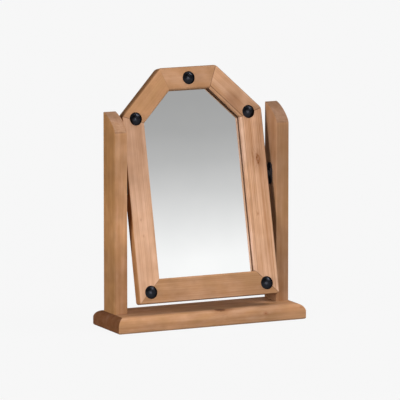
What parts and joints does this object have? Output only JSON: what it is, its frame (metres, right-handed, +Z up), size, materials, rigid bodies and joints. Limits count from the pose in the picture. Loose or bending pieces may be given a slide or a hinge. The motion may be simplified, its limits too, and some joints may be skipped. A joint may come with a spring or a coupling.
{
  "type": "dressing table mirror",
  "caption": "Free-standing dressing table mirror: a mitred wooden frame with cut top corners and domed studs tilts between two posts on a thick base board.",
  "frame": {"origin": "middle of the base board's underside", "axes": "+Z up, the mirror faces -Y, X along the base's length"},
  "size_m": [0.484, 0.1644, 0.5956],
  "materials": {
    "pine": "waxed honey-brown pine",
    "silvered_glass": "silvered float glass",
    "hardboard": "bare hardboard",
    "black_iron": "satin black",
    "steel": "bright zinc",
    "fibre": "matt black fibre",
    "beech": "bare beech"
  },
  "bodies": {
    "stand": {"base_board": "pine", "left_post": "pine", "right_post": "pine", "post_dowels": "beech", "post_screws": "steel", "left_post_plate": "black_iron", "right_post_plate": "black_iron", "post_plate_screws": "black_iron", "left_pivot_pin": "steel", "right_pivot_pin": "steel", "left_friction_washer": "fibre", "right_friction_washer": "fibre", "left_disc_spring": "steel", "right_disc_spring": "steel", "left_pivot_nut": "steel", "right_pivot_nut": "steel"},
    "mirror": {"frame_bottom_rail": "pine", "frame_right_stile": "pine", "frame_right_shoulder": "pine", "frame_top_rail": "pine", "frame_left_shoulder": "pine", "frame_left_stile": "pine", "mitre_dowels": "beech", "mirror_glass": "silvered_glass", "back_panel": "hardboard", "back_panel_screws": "steel", "stud_top": "black_iron", "stud_upper_left": "black_iron", "stud_upper_right": "black_iron", "stud_lower_left": "black_iron", "stud_lower_right": "black_iron", "left_frame_plate": "black_iron", "right_frame_plate": "black_iron", "frame_plate_screws": "black_iron"}
  },
  "joints": [
    {"name": "mirror_tilt", "type": "hinge", "parent": "stand", "child": "mirror", "pos_m": [0, 0.0196, 0.338], "axis": [-1, 0, 0], "continuous": true}
  ]
}
